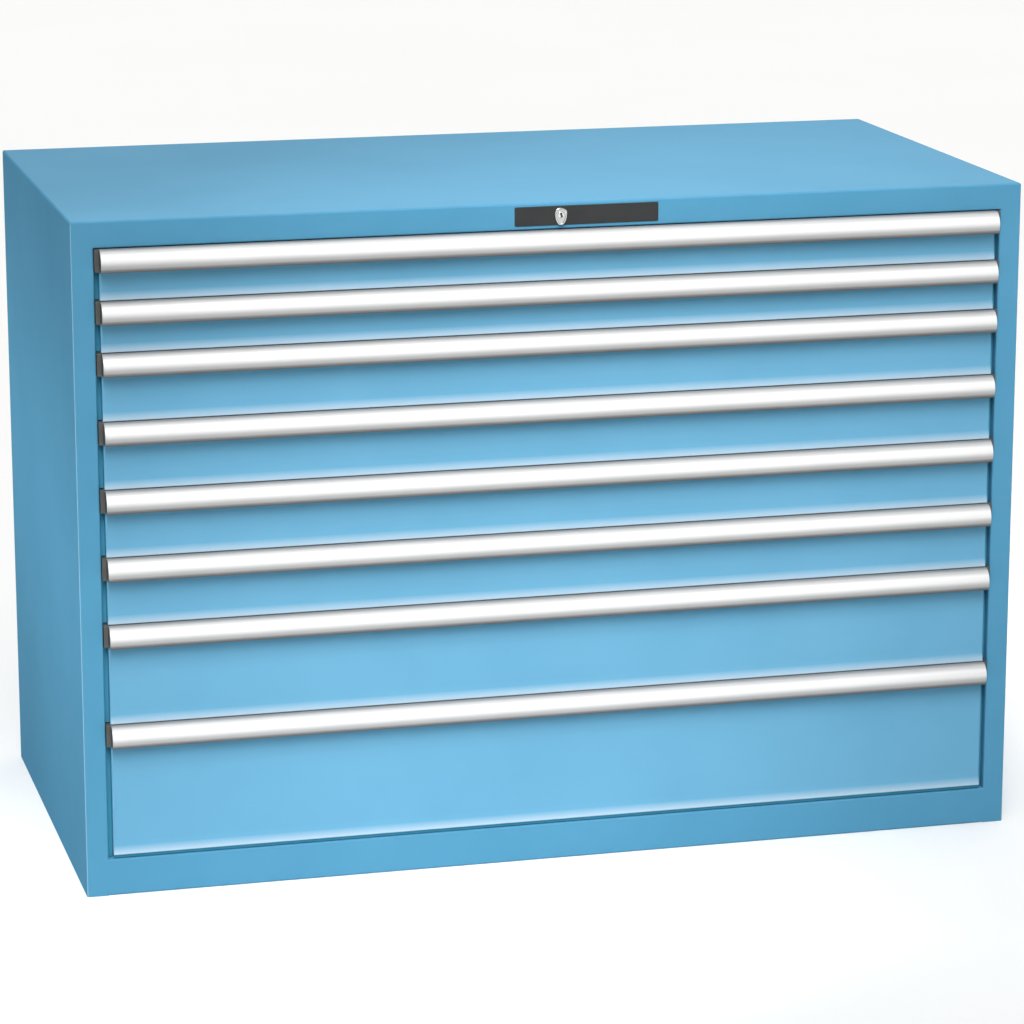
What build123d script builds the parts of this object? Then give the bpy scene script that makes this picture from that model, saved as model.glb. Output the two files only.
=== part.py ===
from build123d import *
import math
import os

os.makedirs("parts", exist_ok=True)

# Floor-standing drawer cabinet in folded sheet steel, sizes in millimetres.
# X runs across the front, Y from the front to the back, Z up from the floor.

# Housing
cabinet_width = 1431.0
cabinet_depth = 725.0
housing_sheet = 1.5
bend_inside = 1.5
column_width = 33.0
top_rail_height = 38.5
bottom_rail_height = 55.5
frame_lip = 20.0
rear_flange = 36.0
base_lip = 30.0

# Drawer stack, listed from the top drawer down
drawer_pitches = (75.0, 75.0, 100.0, 100.0, 100.0, 100.0, 150.0, 200.0)
stack_top_gap = 1.5
stack_bottom_gap = 4.5

# Drawer front: a shallow pan with a flared lower edge and lips that meet the tray
front_recess = 1.5
front_gap_side = 7.5
front_gap_below = 2.0
front_depth = 14.0
front_sheet = 1.2
front_lip = 16.0
flare_reach = 3.5
flare_height = 22.0

# Drawer tray, welded from five sheets
tray_sheet = 1.0
tray_bend = 2.0
tray_lift = 5.0
tray_headroom = 11.0
tray_rim = 6.0
rear_space = 92.3

# Handle strip and its end caps
handle_radius = 21.5
handle_top_depth = 9.0
handle_lip_angle = 38.0
handle_wall = 2.0
handle_web = 2.0
handle_web_height = 14.0
handle_corner_round = 1.5
cap_flange = 6.0
cap_proud = 4.0
cap_reach_back = 12.0
cap_plug_length = 12.0
cap_fit = 0.15

# Telescopic slides: three channels nested in each other
slide_play = 0.3
slide_sheet = 2.0
slide_frame_gap = 1.0
drawer_rail_height = 34.8
drawer_rail_depth = 15.2
rail_step = 3.0
rail_front_gap = 4.0
rail_rear_gap = 2.0
slide_height = 30.0

# Slotted uprights that carry the cabinet rails
upright_width = 40.0
upright_sheet = 2.0
upright_bend = 2.5
upright_top_gap = 4.0
upright_rear_gap = 6.0
slot_width = 12.0
slot_height = 5.0
slot_pitch = 50.0

# Lock on the top rail
plate_width = 217.0
plate_height = 30.0
plate_thickness = 2.0
plate_round = 2.0
plate_offset = 40.0
lock_rise = 2.0
shield_width = 18.0
shield_top = 10.5
shield_bottom = 15.0
shield_chamfer = 3.0
shield_thickness = 3.5
shield_edge = 0.8
cylinder_diameter = 14.0
cylinder_length = 26.0
cylinder_fit = 0.3
nut_across_flats = 22.0
nut_thickness = 5.0
plug_diameter = 9.2
plug_length = 24.0
plug_proud = 0.4
plug_play = 0.05
keyway_width = 2.0
keyway_height = 7.0
keyway_depth = 15.0

# Lock shaft, pinion and locking bar
shaft_diameter = 8.0
pinion_module = 1.0
pinion_teeth = 12
pinion_face = 9.0
pinion_addendum = 0.8
rack_addendum = 0.7
tooth_root = 1.2
tooth_backlash = 0.3
pressure_angle = 20.0
rack_tooth_count = 6
rack_end_margin = 2.0
bar_width = 20.0
bar_thickness = 3.0
bar_standoff = 12.0
bearing_size = 18.0
bearing_thickness = 10.0
bearing_play = 0.1
hook_sheet = 2.0
hook_lip = 12.0
hook_clear = 4.0
hook_slack = 2.5
hook_foot = 12.0
lug_width = 30.0
lug_reach = 22.0
lug_lip = 13.0
lug_foot = 14.0
lug_height = 44.0
seat_gap = 0.2
strap_sheet = 2.0
strap_height = 20.0
strap_foot = 18.0
strap_play = 0.3
strap_drop = 30.0

# Derived housing sizes
bend_outside = bend_inside + housing_sheet
stack_height = sum(drawer_pitches)
opening_bottom = bottom_rail_height
opening_top = opening_bottom + stack_bottom_gap + stack_height + stack_top_gap
cabinet_height = opening_top + top_rail_height
side_x = cabinet_width / 2
opening_half = side_x - column_width

# The handles stand in front of the frame, so the frame is set back by half their reach
handle_reach = handle_radius - front_recess
front_y = (handle_reach - cabinet_depth) / 2
back_y = front_y + cabinet_depth
back_inner = back_y - 2 * housing_sheet

# Derived drawer sizes
face_y = front_y + front_recess
front_half = opening_half - front_gap_side
front_back = face_y + front_depth
tray_front = front_back + seat_gap
tray_back = back_inner - rear_space
handle_drop = math.sqrt(handle_radius**2 - handle_top_depth**2)
handle_height = handle_drop + handle_radius * math.sin(math.radians(handle_lip_angle))

# Derived slide sizes, from the front frame inward to the tray
middle_outer = opening_half - slide_frame_gap
middle_inner = middle_outer - slide_sheet
cabinet_rail_inner = middle_outer + slide_play
cabinet_rail_outer = cabinet_rail_inner + slide_sheet
drawer_rail_outer = middle_inner - slide_play
tray_half = drawer_rail_outer - drawer_rail_depth
middle_rail_height = drawer_rail_height + 2 * (slide_play + slide_sheet)
cabinet_rail_height = middle_rail_height + 2 * (slide_play + slide_sheet)
rail_front = front_y + frame_lip + rail_front_gap
rail_back = tray_back - rail_rear_gap

# Derived lock sizes
plate_z = cabinet_height - top_rail_height / 2 - stack_top_gap / 2
lock_z = plate_z + lock_rise
plate_front = front_y - plate_thickness
shield_front = plate_front - shield_thickness
plug_front = shield_front - plug_proud
plug_back = plug_front + plug_length
pitch_radius = pinion_module * pinion_teeth / 2
tooth_pitch = math.pi * pinion_module
bar_lift = pitch_radius * math.pi / 2
bar_back = back_inner - bar_standoff
bar_front = bar_back - bar_thickness
bar_right = -pitch_radius - tooth_root
bar_left = bar_right - bar_width
bar_middle = (bar_left + bar_right) / 2
rack_top = lock_z + tooth_pitch + rack_end_margin
hook_front = tray_back + lug_reach - 2 * hook_sheet - hook_slack


def drawer_base(number):
    below = sum(drawer_pitches[number:])
    return opening_bottom + stack_bottom_gap + below


def facing_front(y):
    return Plane(origin=(0, y, 0), x_dir=(1, 0, 0), z_dir=(0, -1, 0))


def export_piece(piece, name):
    piece.label = name
    export_step(piece, "parts/" + name + ".step")


# Side panels: column lip, column face, side wall and rear flange in one folded sheet
with BuildPart() as right_side_panel:
    with BuildSketch(Plane.XY):
        with BuildLine():
            FilletPolyline(
                (opening_half, front_y + frame_lip),
                (opening_half, front_y),
                (side_x, front_y),
                (side_x, back_y),
                (side_x - rear_flange, back_y),
                radius=bend_outside,
            )
            offset(amount=housing_sheet, side=Side.LEFT)
        make_face()
    extrude(amount=cabinet_height - housing_sheet)

with BuildPart() as left_side_panel:
    mirror(right_side_panel.part, about=Plane.YZ)

export_piece(right_side_panel.part, "right_side_panel")
export_piece(left_side_panel.part, "left_side_panel")

# Top panel: the sheet folds down into the top rail, notched where the columns stand
with BuildPart() as top_panel:
    with BuildSketch(Plane.YZ):
        with BuildLine():
            FilletPolyline(
                (front_y + frame_lip, opening_top),
                (front_y, opening_top),
                (front_y, cabinet_height),
                (back_y, cabinet_height),
                radius=bend_outside,
            )
            offset(amount=housing_sheet, side=Side.RIGHT)
        make_face()
    extrude(amount=side_x, both=True)
    notch_middle = opening_half + column_width / 2
    with Locations((-notch_middle, front_y, opening_top), (notch_middle, front_y, opening_top)):
        Box(
            column_width,
            2 * frame_lip,
            top_rail_height - housing_sheet,
            align=(Align.CENTER, Align.MIN, Align.MIN),
            mode=Mode.SUBTRACT,
        )
    with BuildSketch(facing_front(front_y)):
        with Locations((0, lock_z)):
            Circle(cylinder_diameter / 2 + cylinder_fit)
    extrude(amount=-frame_lip, mode=Mode.SUBTRACT)

export_piece(top_panel.part, "top_panel")

# Base panel: floor lip, bottom rail, cabinet floor, rear wall and rear floor lip
with BuildPart() as base_panel:
    with BuildSketch(Plane.YZ):
        with BuildLine():
            FilletPolyline(
                (front_y + base_lip, 0),
                (front_y, 0),
                (front_y, opening_bottom),
                (back_inner, opening_bottom),
                (back_inner, 0),
                (back_inner - base_lip, 0),
                radius=bend_outside,
            )
            offset(amount=housing_sheet, side=Side.RIGHT)
        make_face()
    extrude(amount=opening_half, both=True)
    floor_front = front_y + frame_lip
    floor_edge = column_width - housing_sheet
    floor_middle = opening_half + floor_edge / 2
    with Locations(
        (-floor_middle, floor_front, opening_bottom), (floor_middle, floor_front, opening_bottom)
    ):
        Box(
            floor_edge,
            back_inner - bend_outside - floor_front,
            housing_sheet,
            align=(Align.CENTER, Align.MIN, Align.MAX),
        )

export_piece(base_panel.part, "base_panel")

# Back panel with three straps for the locking bar and the bearing block of the lock shaft
strap_levels = [drawer_base(number) + strap_drop for number in (2, 5, 8)]
strap_left = bar_left - strap_play
strap_right = bar_right + strap_play
strap_front = bar_front - strap_play
strap_back = back_inner - seat_gap

with BuildPart() as back_panel:
    with Locations((0, back_inner, opening_bottom)):
        Box(
            2 * (side_x - bend_outside),
            housing_sheet,
            cabinet_height - housing_sheet - opening_bottom,
            align=(Align.CENTER, Align.MIN, Align.MIN),
        )
    with BuildSketch(*[Plane.XY.offset(level) for level in strap_levels]):
        with BuildLine():
            Polyline(
                (strap_left - strap_foot, strap_back),
                (strap_left, strap_back),
                (strap_left, strap_front),
                (strap_right, strap_front),
                (strap_right, strap_back),
                (strap_right + strap_foot, strap_back),
            )
            offset(amount=strap_sheet, side=Side.RIGHT, kind=Kind.INTERSECTION)
        make_face()
    extrude(amount=strap_height)
    with BuildSketch(facing_front(strap_back)):
        with Locations((0, lock_z)):
            Rectangle(bearing_size, bearing_size)
            Circle(shaft_diameter / 2 + bearing_play, mode=Mode.SUBTRACT)
    extrude(amount=bearing_thickness)

export_piece(back_panel.part, "back_panel")

# Guide frames: two slotted uprights and one cabinet rail for every drawer on each side
upright_inner = cabinet_rail_outer + seat_gap
upright_fronts = (rail_front, rail_back - upright_rear_gap - upright_width)
upright_height = opening_top - upright_top_gap - opening_bottom
slot_count = int((upright_height - slot_pitch) / slot_pitch)

with BuildPart() as right_guide_frame:
    for upright_front in upright_fronts:
        upright_back = upright_front + upright_width
        with BuildSketch(Plane.XY.offset(opening_bottom)):
            with BuildLine():
                FilletPolyline(
                    (side_x - housing_sheet, upright_front),
                    (upright_inner, upright_front),
                    (upright_inner, upright_back),
                    (side_x - housing_sheet, upright_back),
                    radius=upright_bend,
                )
                offset(amount=upright_sheet, side=Side.RIGHT)
            make_face()
        extrude(amount=upright_height)
        with BuildSketch(Plane.YZ.offset(upright_inner)):
            with Locations((upright_front + upright_width / 2, opening_bottom + upright_height / 2)):
                with GridLocations(0, slot_pitch, 1, slot_count):
                    Rectangle(slot_width, slot_height)
        extrude(amount=upright_sheet, mode=Mode.SUBTRACT)
    for number in range(1, len(drawer_pitches) + 1):
        rail_z = drawer_base(number) + slide_height
        half_height = cabinet_rail_height / 2
        flange_tip = tray_half + 2 * rail_step
        with BuildSketch(facing_front(rail_front)):
            with BuildLine():
                Polyline(
                    (flange_tip, rail_z + half_height),
                    (cabinet_rail_outer, rail_z + half_height),
                    (cabinet_rail_outer, rail_z - half_height),
                    (flange_tip, rail_z - half_height),
                )
                offset(amount=slide_sheet, side=Side.RIGHT, kind=Kind.INTERSECTION)
            make_face()
        extrude(amount=rail_front - rail_back)

with BuildPart() as left_guide_frame:
    mirror(right_guide_frame.part, about=Plane.YZ)

export_piece(right_guide_frame.part, "right_guide_frame")
export_piece(left_guide_frame.part, "left_guide_frame")


def make_tray(base_z, pitch):
    floor_z = base_z + tray_lift
    wall_foot = floor_z + tray_sheet + seat_gap
    rim_z = base_z + pitch - tray_headroom
    depth = tray_back - tray_front
    middle_y = (tray_front + tray_back) / 2
    wall_width = 2 * (tray_half - tray_sheet - seat_gap)
    lug_z = base_z + lug_height
    with BuildPart() as tray:
        with BuildSketch(facing_front(tray_front)):
            with BuildLine():
                FilletPolyline(
                    (tray_half - tray_sheet, wall_foot),
                    (tray_half - tray_sheet, rim_z),
                    (tray_half + tray_rim, rim_z),
                    radius=tray_bend,
                )
                offset(amount=tray_sheet, side=Side.RIGHT)
            make_face()
        extrude(amount=-depth)
        mirror(about=Plane.YZ)
        with Locations((0, middle_y, floor_z)):
            Box(2 * tray_half, depth, tray_sheet, align=(Align.CENTER, Align.CENTER, Align.MIN))
        with Locations((0, tray_front, wall_foot), (0, tray_back - tray_sheet, wall_foot)):
            Box(wall_width, tray_sheet, rim_z - wall_foot, align=(Align.CENTER, Align.MIN, Align.MIN))
        with BuildSketch(Plane.YZ.offset(bar_middle)):
            with BuildLine():
                Polyline(
                    (tray_back + seat_gap, lug_z + lug_foot),
                    (tray_back + seat_gap, lug_z),
                    (tray_back + lug_reach, lug_z),
                    (tray_back + lug_reach, lug_z - lug_lip),
                )
                offset(amount=hook_sheet, side=Side.LEFT, kind=Kind.INTERSECTION)
            make_face()
        extrude(amount=lug_width / 2, both=True)
    return tray.part


def make_front(base_z, pitch):
    bottom_z = base_z + front_gap_below
    top_z = base_z + pitch
    with BuildPart() as front:
        with BuildSketch(Plane.YZ):
            with BuildLine():
                Polyline(
                    (face_y, bottom_z + flare_height),
                    (face_y, top_z),
                    (front_back, top_z),
                    (front_back, bottom_z),
                    (face_y - flare_reach, bottom_z),
                )
                TangentArc(
                    (face_y, bottom_z + flare_height),
                    (face_y - flare_reach, bottom_z),
                    tangent=(0, -1),
                )
            make_face()
        extrude(amount=front_half, both=True)
        offset(amount=-front_sheet, openings=front.faces().sort_by(Axis.Y)[-1], kind=Kind.INTERSECTION)
        with BuildSketch(facing_front(front_back)):
            with Locations((0, (bottom_z + top_z) / 2)):
                Rectangle(2 * front_half, top_z - bottom_z)
                Rectangle(
                    2 * (front_half - front_lip),
                    top_z - bottom_z - 2 * front_lip,
                    mode=Mode.SUBTRACT,
                )
        extrude(amount=front_sheet)
    return front.part


def handle_point(radius, angle, top_z):
    turn = math.radians(angle)
    return (face_y - radius * math.cos(turn), top_z - handle_drop + radius * math.sin(turn))


def make_handle(top_z):
    inner_radius = handle_radius - handle_wall
    middle_radius = handle_radius - handle_wall / 2
    inner_depth = math.sqrt(inner_radius**2 - (handle_drop - handle_wall) ** 2)
    tip_angle = handle_lip_angle + math.degrees(handle_wall / 2 / middle_radius)
    top_corner = (face_y - handle_top_depth, top_z)
    inner_corner = (face_y - inner_depth, top_z - handle_wall)
    outer_end = handle_point(handle_radius, -handle_lip_angle, top_z)
    inner_end = handle_point(inner_radius, -handle_lip_angle, top_z)
    with BuildPart() as handle:
        with BuildSketch(Plane.YZ) as section:
            with BuildLine():
                Line((face_y, top_z), top_corner)
                ThreePointArc(top_corner, handle_point(handle_radius, 0, top_z), outer_end)
                ThreePointArc(outer_end, handle_point(middle_radius, -tip_angle, top_z), inner_end)
                ThreePointArc(inner_end, handle_point(inner_radius, 0, top_z), inner_corner)
                Polyline(
                    inner_corner,
                    (face_y - handle_web, top_z - handle_wall),
                    (face_y - handle_web, top_z - handle_web_height),
                    (face_y, top_z - handle_web_height),
                    (face_y, top_z),
                )
            make_face()
            corner = section.vertices().sort_by_distance((*top_corner, 0))[0]
            fillet(corner, handle_corner_round)
        extrude(amount=front_half, both=True)
    return handle.part


def make_end_caps(top_z):
    plug_radius = handle_radius - handle_wall - cap_fit
    plug_top = top_z - handle_wall - cap_fit
    plug_depth = math.sqrt(plug_radius**2 - (plug_top - top_z + handle_drop) ** 2)
    plug_root = face_y - handle_web - cap_fit
    plug_corner = (face_y - plug_depth, plug_top)
    plug_end = handle_point(plug_radius, -handle_lip_angle, top_z)
    with BuildPart() as caps:
        with BuildSketch(Plane.YZ.offset(front_half)):
            with BuildLine():
                Line((plug_root, plug_top), plug_corner)
                ThreePointArc(plug_corner, handle_point(plug_radius, 0, top_z), plug_end)
                Polyline(plug_end, (plug_root, plug_end[1]), (plug_root, plug_top))
            make_face()
        extrude(amount=-cap_plug_length)
        with Locations((front_half, face_y - cap_proud, top_z)):
            Box(
                cap_flange,
                cap_proud + cap_reach_back,
                handle_height,
                align=(Align.MIN, Align.MIN, Align.MAX),
            )
        mirror(about=Plane.YZ)
    return caps.part


def make_drawer_rails(rail_z):
    half_height = drawer_rail_height / 2
    with BuildPart() as rails:
        with BuildSketch(facing_front(rail_front + rail_step)):
            with BuildLine():
                Polyline(
                    (drawer_rail_outer, rail_z + half_height),
                    (tray_half, rail_z + half_height),
                    (tray_half, rail_z - half_height),
                    (drawer_rail_outer, rail_z - half_height),
                )
                offset(amount=slide_sheet, side=Side.LEFT, kind=Kind.INTERSECTION)
            make_face()
        extrude(amount=rail_front + rail_step - rail_back)
        mirror(about=Plane.YZ)
    return rails.part


def make_middle_rails(rail_z):
    half_height = middle_rail_height / 2
    flange_tip = tray_half + rail_step
    with BuildPart() as rails:
        with BuildSketch(facing_front(rail_front + rail_step)):
            with BuildLine():
                Polyline(
                    (flange_tip, rail_z + half_height),
                    (middle_outer, rail_z + half_height),
                    (middle_outer, rail_z - half_height),
                    (flange_tip, rail_z - half_height),
                )
                offset(amount=slide_sheet, side=Side.RIGHT, kind=Kind.INTERSECTION)
            make_face()
        extrude(amount=rail_front + 2 * rail_step - rail_back)
        mirror(about=Plane.YZ)
    return rails.part


# Drawers, numbered from the top
for number, pitch in enumerate(drawer_pitches, start=1):
    base_z = drawer_base(number)
    prefix = "drawer_" + str(number)
    export_piece(make_tray(base_z, pitch), prefix + "_tray")
    export_piece(make_front(base_z, pitch), prefix + "_front")
    export_piece(make_handle(base_z + pitch), prefix + "_handle")
    export_piece(make_end_caps(base_z + pitch), prefix + "_end_caps")
    export_piece(make_drawer_rails(base_z + slide_height), prefix + "_rails")
    export_piece(make_middle_rails(base_z + slide_height), prefix + "_middle_rails")

# Dark cover plate on the top rail, drilled for the lock cylinder
with BuildPart() as lock_plate:
    with BuildSketch(facing_front(front_y)):
        with Locations((plate_offset, plate_z)):
            RectangleRounded(plate_width, plate_height, plate_round)
        with Locations((0, lock_z)):
            Circle(cylinder_diameter / 2 + cylinder_fit, mode=Mode.SUBTRACT)
    extrude(amount=plate_thickness)

export_piece(lock_plate.part, "lock_plate")

# Lock rosette: shield, threaded cylinder and the nut behind the top rail
shield_half = shield_width / 2
shield_head = lock_z + shield_top
shield_foot = lock_z - shield_bottom + shield_half

with BuildPart() as lock_rosette:
    with BuildSketch(facing_front(plate_front)):
        with BuildLine():
            Polyline(
                (-shield_half, shield_foot),
                (-shield_half, shield_head - shield_chamfer),
                (shield_chamfer - shield_half, shield_head),
                (shield_half - shield_chamfer, shield_head),
                (shield_half, shield_head - shield_chamfer),
                (shield_half, shield_foot),
            )
            ThreePointArc(
                (shield_half, shield_foot),
                (0, shield_foot - shield_half),
                (-shield_half, shield_foot),
            )
        make_face()
    extrude(amount=shield_thickness)
    chamfer(lock_rosette.faces().sort_by(Axis.Y)[0].edges(), shield_edge)
    with BuildSketch(facing_front(plate_front)):
        with Locations((0, lock_z)):
            Circle(cylinder_diameter / 2)
    extrude(amount=-cylinder_length)
    with BuildSketch(facing_front(front_y + housing_sheet)):
        with Locations((0, lock_z)):
            RegularPolygon(nut_across_flats / 2, 6, major_radius=False)
    extrude(amount=-nut_thickness)
    with BuildSketch(facing_front(shield_front)):
        with Locations((0, lock_z)):
            Circle(plug_diameter / 2 + plug_play)
    extrude(amount=-2 * cylinder_length, mode=Mode.SUBTRACT)

export_piece(lock_rosette.part, "lock_rosette")

# Lock plug with its keyway
with BuildPart() as lock_plug:
    with BuildSketch(facing_front(plug_front)):
        with Locations((0, lock_z)):
            Circle(plug_diameter / 2)
    extrude(amount=-plug_length)
    with BuildSketch(facing_front(plug_front)):
        with Locations((0, lock_z)):
            Rectangle(keyway_width, keyway_height)
    extrude(amount=-keyway_depth, mode=Mode.SUBTRACT)

export_piece(lock_plug.part, "lock_plug")


def tooth_half_angle(radius):
    base_radius = pitch_radius * math.cos(math.radians(pressure_angle))
    at_pitch = math.radians(pressure_angle)
    at_radius = math.acos(min(1.0, base_radius / radius))
    spread = math.tan(at_pitch) - at_pitch - math.tan(at_radius) + at_radius
    return (tooth_pitch / 2 - tooth_backlash) / (2 * pitch_radius) + spread


# Lock shaft: rod from the plug to the bearing block, with an involute pinion at the rear
pinion_back = back_inner - bearing_thickness - slide_play
flank_radii = [pitch_radius + step * pinion_addendum for step in (-0.4, 0.0, 0.5, 1.0)]
flank = [(radius, tooth_half_angle(radius)) for radius in flank_radii]
tooth_foot = (pitch_radius - tooth_root - pinion_addendum, flank[0][1])
flank.insert(0, tooth_foot)
right_flank = [(radius * math.cos(angle), -radius * math.sin(angle)) for radius, angle in flank]
left_flank = [(radius * math.cos(angle), radius * math.sin(angle)) for radius, angle in reversed(flank)]

with BuildPart() as lock_shaft:
    with BuildSketch(facing_front(plug_back)):
        with Locations((0, lock_z)):
            Circle(shaft_diameter / 2)
    extrude(amount=plug_back - back_inner + slide_play)
    with BuildSketch(facing_front(pinion_back)):
        with Locations((0, lock_z)):
            Circle(pitch_radius - tooth_root)
            with PolarLocations(0, pinion_teeth, start_angle=180):
                Polygon(*right_flank, *left_flank, align=None)
    extrude(amount=pinion_face)

export_piece(lock_shaft.part, "lock_shaft")

# Locking bar: rack at the top, one upturned hook under the lug of every drawer
bar_bottom = drawer_base(len(drawer_pitches)) + lug_height - lug_lip - hook_clear - hook_lip - hook_foot
slope = math.tan(math.radians(pressure_angle))
tooth_half = (tooth_pitch / 2 - tooth_backlash) / 2
tooth_width = 2 * (tooth_half + slope * tooth_root)
tip_half = tooth_half - slope * rack_addendum

with BuildPart() as lock_bar:
    with Locations((bar_middle, bar_front, bar_bottom)):
        Box(
            bar_width,
            bar_thickness,
            rack_top - bar_bottom,
            align=(Align.CENTER, Align.MIN, Align.MIN),
        )
    with BuildSketch(facing_front(bar_back)):
        for tooth in range(rack_tooth_count):
            tooth_z = lock_z + tooth_pitch * (0.5 - tooth)
            with BuildLine():
                Polyline(
                    (bar_right, tooth_z - tooth_width / 2),
                    (rack_addendum - pitch_radius, tooth_z - tip_half),
                    (rack_addendum - pitch_radius, tooth_z + tip_half),
                    (bar_right, tooth_z + tooth_width / 2),
                    close=True,
                )
            make_face()
    extrude(amount=bar_thickness)
    for number in range(1, len(drawer_pitches) + 1):
        hook_z = drawer_base(number) + lug_height - lug_lip - hook_clear - hook_lip
        with BuildSketch(Plane.YZ.offset(bar_middle)):
            with BuildLine():
                Polyline(
                    (bar_front, hook_z - hook_foot),
                    (bar_front, hook_z),
                    (hook_front, hook_z),
                    (hook_front, hook_z + hook_lip),
                )
                offset(amount=hook_sheet, side=Side.LEFT, kind=Kind.INTERSECTION)
            make_face()
        extrude(amount=bar_width / 2, both=True)

export_piece(lock_bar.part, "lock_bar")
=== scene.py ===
import math
import bmesh
import bpy
from mathutils import Matrix, Vector


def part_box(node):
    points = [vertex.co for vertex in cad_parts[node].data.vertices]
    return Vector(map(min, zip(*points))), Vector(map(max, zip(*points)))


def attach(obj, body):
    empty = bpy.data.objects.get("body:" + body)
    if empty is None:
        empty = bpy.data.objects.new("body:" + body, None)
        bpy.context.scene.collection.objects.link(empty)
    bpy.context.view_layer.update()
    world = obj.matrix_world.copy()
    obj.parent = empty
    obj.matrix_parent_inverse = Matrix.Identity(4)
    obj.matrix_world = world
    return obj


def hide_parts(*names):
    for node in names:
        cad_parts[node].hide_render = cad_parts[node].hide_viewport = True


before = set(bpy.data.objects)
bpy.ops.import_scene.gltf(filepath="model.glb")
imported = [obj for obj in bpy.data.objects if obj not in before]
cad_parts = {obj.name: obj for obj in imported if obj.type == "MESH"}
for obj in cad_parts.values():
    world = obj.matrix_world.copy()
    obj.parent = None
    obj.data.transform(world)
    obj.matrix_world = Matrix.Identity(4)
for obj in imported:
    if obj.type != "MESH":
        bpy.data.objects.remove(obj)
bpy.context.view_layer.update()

mm = 0.001
weld = 0.01 * mm  # points closer than this are one
near = 0.1 * mm  # points this close to a line or a plane count as on it
drawerNumbers = range(1, 9)
print("frame loaded:", len(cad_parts), "CAD nodes")


def hexLinear(code):
    channels = [int(code[i:i + 2], 16) / 255 for i in (1, 3, 5)]
    linear = [c / 12.92 if c <= 0.04045 else ((c + 0.055) / 1.055) ** 2.4 for c in channels]
    return (*linear, 1.0)


def addNode(tree, kind, links=None, **settings):
    node = tree.nodes.new(kind)
    for key, value in settings.items():
        setattr(node, key, value)
    for socket, value in (links or {}).items():
        if isinstance(value, bpy.types.NodeSocket):
            tree.links.new(value, node.inputs[socket])
        else:
            node.inputs[socket].default_value = value
    return node


def startMaterial(name):
    material = bpy.data.materials.new(name)
    material.use_nodes = True
    tree = material.node_tree
    tree.nodes.clear()
    shader = addNode(tree, "ShaderNodeBsdfPrincipled")
    addNode(tree, "ShaderNodeOutputMaterial", {"Surface": shader.outputs["BSDF"]})
    coords = addNode(tree, "ShaderNodeTexCoord").outputs["Object"]
    return material, tree, shader, coords


# soft clouds between two close tones: gives the cloud pattern itself and the colour made from it
def cloudedColour(tree, coords, look, detail=2.0, roughness=0.5, places=(0.35, 0.65)):
    clouds = addNode(tree, "ShaderNodeTexNoise",
                     {"Vector": coords, "Scale": 1 / (look["cloudMm"] * mm), "Detail": detail,
                      "Roughness": roughness}).outputs["Fac"]
    tones = addNode(tree, "ShaderNodeValToRGB", {"Fac": clouds})
    for stop, place, code in zip(tones.color_ramp.elements, places, look["colours"]):
        stop.position = place
        stop.color = hexLinear(code)
    return clouds, tones.outputs["Color"]


def makePowderCoat(look):
    material, tree, shader, coords = startMaterial(look["name"])
    clouds, tone = cloudedColour(tree, coords, look, detail=3.0, roughness=0.55)
    peel = addNode(tree, "ShaderNodeTexNoise",
                   {"Vector": coords, "Scale": 1 / (look["peelMm"] * mm), "Detail": 2.0, "Roughness": 0.5})
    gloss = addNode(tree, "ShaderNodeMapRange",
                    {"Value": clouds, "To Min": look["roughness"] - look["spread"],
                     "To Max": look["roughness"] + look["spread"]})
    bump = addNode(tree, "ShaderNodeBump",
                   {"Height": peel.outputs["Fac"], "Strength": look["peelStrength"],
                    "Distance": look["peelDepthMm"] * mm})
    # painted highlight: where the vertex attribute is high, the colour is mixed towards a pale tone
    paintedHighlight = addNode(tree, "ShaderNodeAttribute", attribute_name="paintedHighlight")
    highlightMix = addNode(tree, "ShaderNodeMapRange",
                   {"Value": paintedHighlight.outputs["Fac"], "From Min": look["paintedHighlightStart"], "To Max": look["paintedHighlightShare"]})
    colour = addNode(tree, "ShaderNodeMix",
                     {0: highlightMix.outputs["Result"], 6: tone, 7: hexLinear(look["paintedHighlightColour"])}, data_type="RGBA")
    tree.links.new(colour.outputs[2], shader.inputs["Base Color"])
    tree.links.new(gloss.outputs["Result"], shader.inputs["Roughness"])
    tree.links.new(bump.outputs["Normal"], shader.inputs["Normal"])
    shader.inputs["Specular IOR Level"].default_value = look["gleam"]
    return material


# Polyester powder coat baked on steel: satin, even colour with faint clouds, a soft orange peel.
# A painted highlight, read from a vertex attribute, lays a pale line over the sharpest folds.
# The real peel is near 1 mm wide and would not show, so it is drawn 3 mm wide.
powderCoat = {"cloudMm": 240, "peelMm": 3.0, "peelDepthMm": 0.06, "peelStrength": 0.25, "roughness": 0.65,
              "spread": 0.04, "gleam": 0.005, "paintedHighlightStart": 0.4}
bluePaint = makePowderCoat({**powderCoat, "name": "light blue polyester powder coat",
                            "colours": ("#508FB0", "#5493B4"), "paintedHighlightColour": "#C4DCEA", "paintedHighlightShare": 0.7})
# The drawer fronts wear the same coat as the housing but are painted a shade lighter, as painted light. Along
# their flared lower edge a painted highlight makes them paler.
frontPaint = makePowderCoat({**powderCoat, "name": "blue polyester powder coat painted lighter",
                             "colours": ("#649FBF", "#68A3C3"), "paintedHighlightColour": "#B2C5D2", "paintedHighlightShare": 0.85})
# The flanges behind the gaps are painted a deeper blue: painted shade for the gaps.
gapShadePaint = makePowderCoat({**powderCoat, "name": "blue polyester powder coat in painted shade",
                              "colours": ("#4290AC", "#4693AF"), "paintedHighlightColour": "#4693AF", "paintedHighlightShare": 0.0})
# The trays wear the same coat in light grey, a little smoother and glossier.
greyPaint = makePowderCoat({**powderCoat, "name": "light grey polyester powder coat", "cloudMm": 200,
                            "colours": ("#ACB1B0", "#B2B7B5"), "roughness": 0.48, "gleam": 0.4,
                            "paintedHighlightColour": "#B3B8B6", "paintedHighlightShare": 0.0})


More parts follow.
